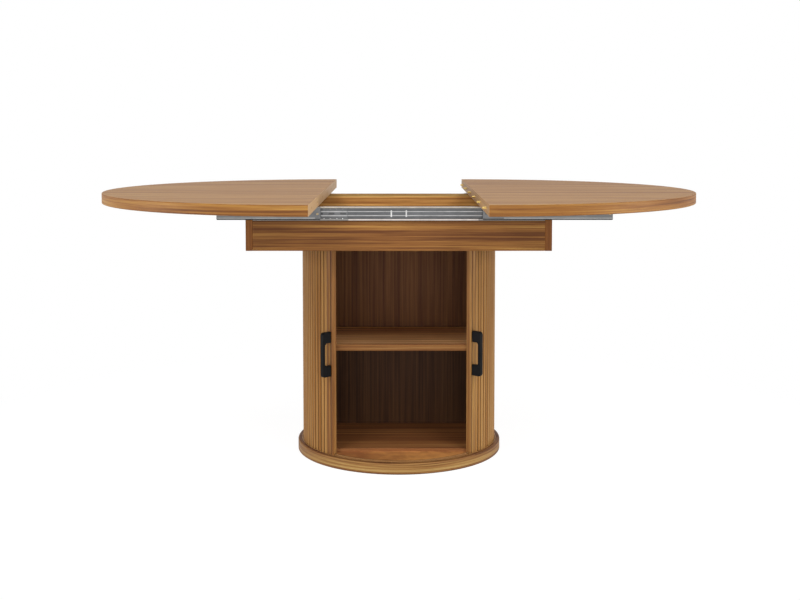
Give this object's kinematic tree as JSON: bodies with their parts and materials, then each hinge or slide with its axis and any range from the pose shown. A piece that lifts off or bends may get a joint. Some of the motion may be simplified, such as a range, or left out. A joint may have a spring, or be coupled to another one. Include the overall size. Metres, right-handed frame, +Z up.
{
  "type": "extending round table with storage cabinet",
  "caption": "Round kitchen table whose two top halves slide apart over a storage tray, on a round cabinet with curved tambour doors, a shelf and bridge handles.",
  "frame": {"origin": "centre of the drum cabinet at floor level", "axes": "+X along the extended top, +Z up, -Y the open front of the cabinet"},
  "size_m": [1.6098, 1.2, 0.718],
  "materials": {
    "top_wood": "satin walnut-grain laminate, grain along X",
    "apron_wood": "satin walnut-grain laminate",
    "case_wood": "satin walnut-grain laminate, inside of the cabinet",
    "slat_wood": "satin walnut-grain slats, grain upright",
    "plinth_wood": "satin walnut-grain edge",
    "zinc_steel": "zinc-plated rolled steel",
    "clip_steel": "bright plated steel",
    "screw_steel": "plated steel",
    "ball_steel": "polished",
    "brass": "satin",
    "black_metal": "matt black powder coat",
    "brown_plastic": "matt, toned to the wood",
    "canvas": "woven backing cloth"
  },
  "bodies": {
    "frame": {"apron_bottom_board": "case_wood", "apron_end_left": "apron_wood", "apron_end_right": "apron_wood", "apron_front_board": "apron_wood", "apron_rear_board": "apron_wood", "back_panel": "case_wood", "corner_blocks": "case_wood", "floor_board": "case_wood", "front_fixed_rail": "zinc_steel", "lower_track": "brown_plastic", "plinth": "plinth_wood", "plinth_screws": "screw_steel", "rail_clips": "clip_steel", "rail_screws": "screw_steel", "rear_fixed_rail": "zinc_steel", "rear_shell": "case_wood", "rear_slats": "slat_wood", "shelf": "case_wood", "shelf_pins": "screw_steel", "shell_batten_left": "case_wood", "shell_batten_right": "case_wood", "side_panel_left": "case_wood", "side_panel_right": "case_wood", "track_stops": "brown_plastic", "tray_screws": "screw_steel", "upper_track": "brown_plastic"},
    "door_left": {"door_left_canvas": "canvas", "door_left_handle": "black_metal", "door_left_handle_screws": "screw_steel", "door_left_slats": "slat_wood", "door_left_stile": "slat_wood"},
    "door_right": {"door_right_canvas": "canvas", "door_right_handle": "black_metal", "door_right_handle_screws": "screw_steel", "door_right_slats": "slat_wood", "door_right_stile": "slat_wood"},
    "front_left_cage": {"front_left_balls": "ball_steel", "front_left_cage": "zinc_steel"},
    "top_left": {"front_left_plate": "zinc_steel", "front_left_runner": "zinc_steel", "left_plate_screws": "brass", "left_top_screws": "screw_steel", "rear_left_plate": "zinc_steel", "rear_left_runner": "zinc_steel", "top_left": "top_wood"},
    "front_right_cage": {"front_right_balls": "ball_steel", "front_right_cage": "zinc_steel"},
    "top_right": {"front_right_plate": "zinc_steel", "front_right_runner": "zinc_steel", "rear_right_plate": "zinc_steel", "rear_right_runner": "zinc_steel", "right_plate_screws": "brass", "right_top_screws": "screw_steel", "top_pegs": "brass", "top_right": "top_wood"},
    "rear_left_cage": {"rear_left_balls": "ball_steel", "rear_left_cage": "zinc_steel"},
    "rear_right_cage": {"rear_right_balls": "ball_steel", "rear_right_cage": "zinc_steel"}
  },
  "joints": [
    {"name": "top_left_slide", "type": "slide", "parent": "frame", "child": "top_left", "axis": [1, 0, 0], "range_m": [0, 0.2045]},
    {"name": "top_right_slide", "type": "slide", "parent": "frame", "child": "top_right", "axis": [-1, 0, 0], "range_m": [0, 0.2045]},
    {"name": "front_left_cage_roll", "type": "slide", "parent": "frame", "child": "front_left_cage", "axis": [1, 0, 0], "range_m": [0, 0.1025]},
    {"name": "rear_left_cage_roll", "type": "slide", "parent": "frame", "child": "rear_left_cage", "axis": [1, 0, 0], "range_m": [0, 0.1025]},
    {"name": "front_right_cage_roll", "type": "slide", "parent": "frame", "child": "front_right_cage", "axis": [-1, 0, 0], "range_m": [0, 0.1025]},
    {"name": "rear_right_cage_roll", "type": "slide", "parent": "frame", "child": "rear_right_cage", "axis": [-1, 0, 0], "range_m": [0, 0.1025]},
    {"name": "door_left_turn", "type": "hinge", "parent": "frame", "child": "door_left", "pos_m": [0, 0, 0.3], "axis": [0, 0, 1], "range_deg": [-19, 40.7]},
    {"name": "door_right_turn", "type": "hinge", "parent": "frame", "child": "door_right", "pos_m": [0, 0, 0.3], "axis": [0, 0, 1], "range_deg": [-45, 14.7]}
  ],
  "couplings": [
    {"joint": "front_left_cage_roll", "follows": "top_left_slide", "ratio": 0.5},
    {"joint": "rear_left_cage_roll", "follows": "top_left_slide", "ratio": 0.5},
    {"joint": "front_right_cage_roll", "follows": "top_right_slide", "ratio": 0.5},
    {"joint": "rear_right_cage_roll", "follows": "top_right_slide", "ratio": 0.5}
  ]
}
